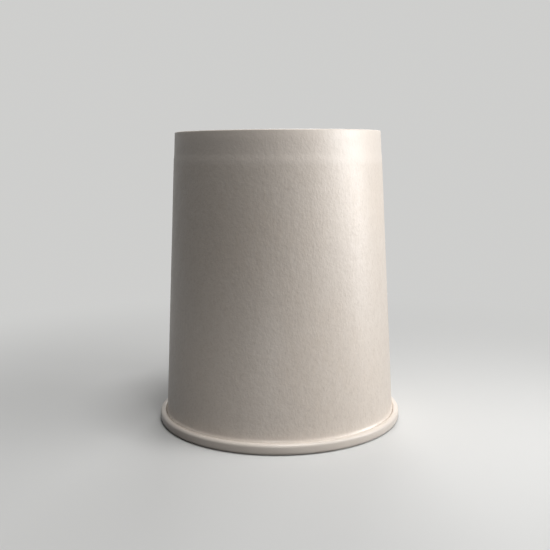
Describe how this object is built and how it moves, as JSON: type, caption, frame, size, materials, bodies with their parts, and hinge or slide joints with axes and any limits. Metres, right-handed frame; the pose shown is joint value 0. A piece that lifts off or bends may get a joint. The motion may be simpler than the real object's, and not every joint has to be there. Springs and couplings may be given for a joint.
{
  "type": "paper soup container",
  "caption": "Tapered round paperboard tub with a rolled rim, a lapped side seam and a recessed base, stored mouth down.",
  "frame": {"origin": "centre of the rolled rim, on the plane of its crown, which is the surface that the tub stands on mouth down", "axes": "+Z along the tub's axis from the mouth to the closed base; +Y towards the side seam; turn half a turn about X to use it upright"},
  "size_m": [0.117, 0.117, 0.136],
  "materials": {
    "wall_board": "coated board, soft gloss",
    "base_board": "coated board, soft gloss"
  },
  "bodies": {
    "root": {"side_wall": "wall_board", "base_disc": "base_board"}
  },
  "joints": []
}
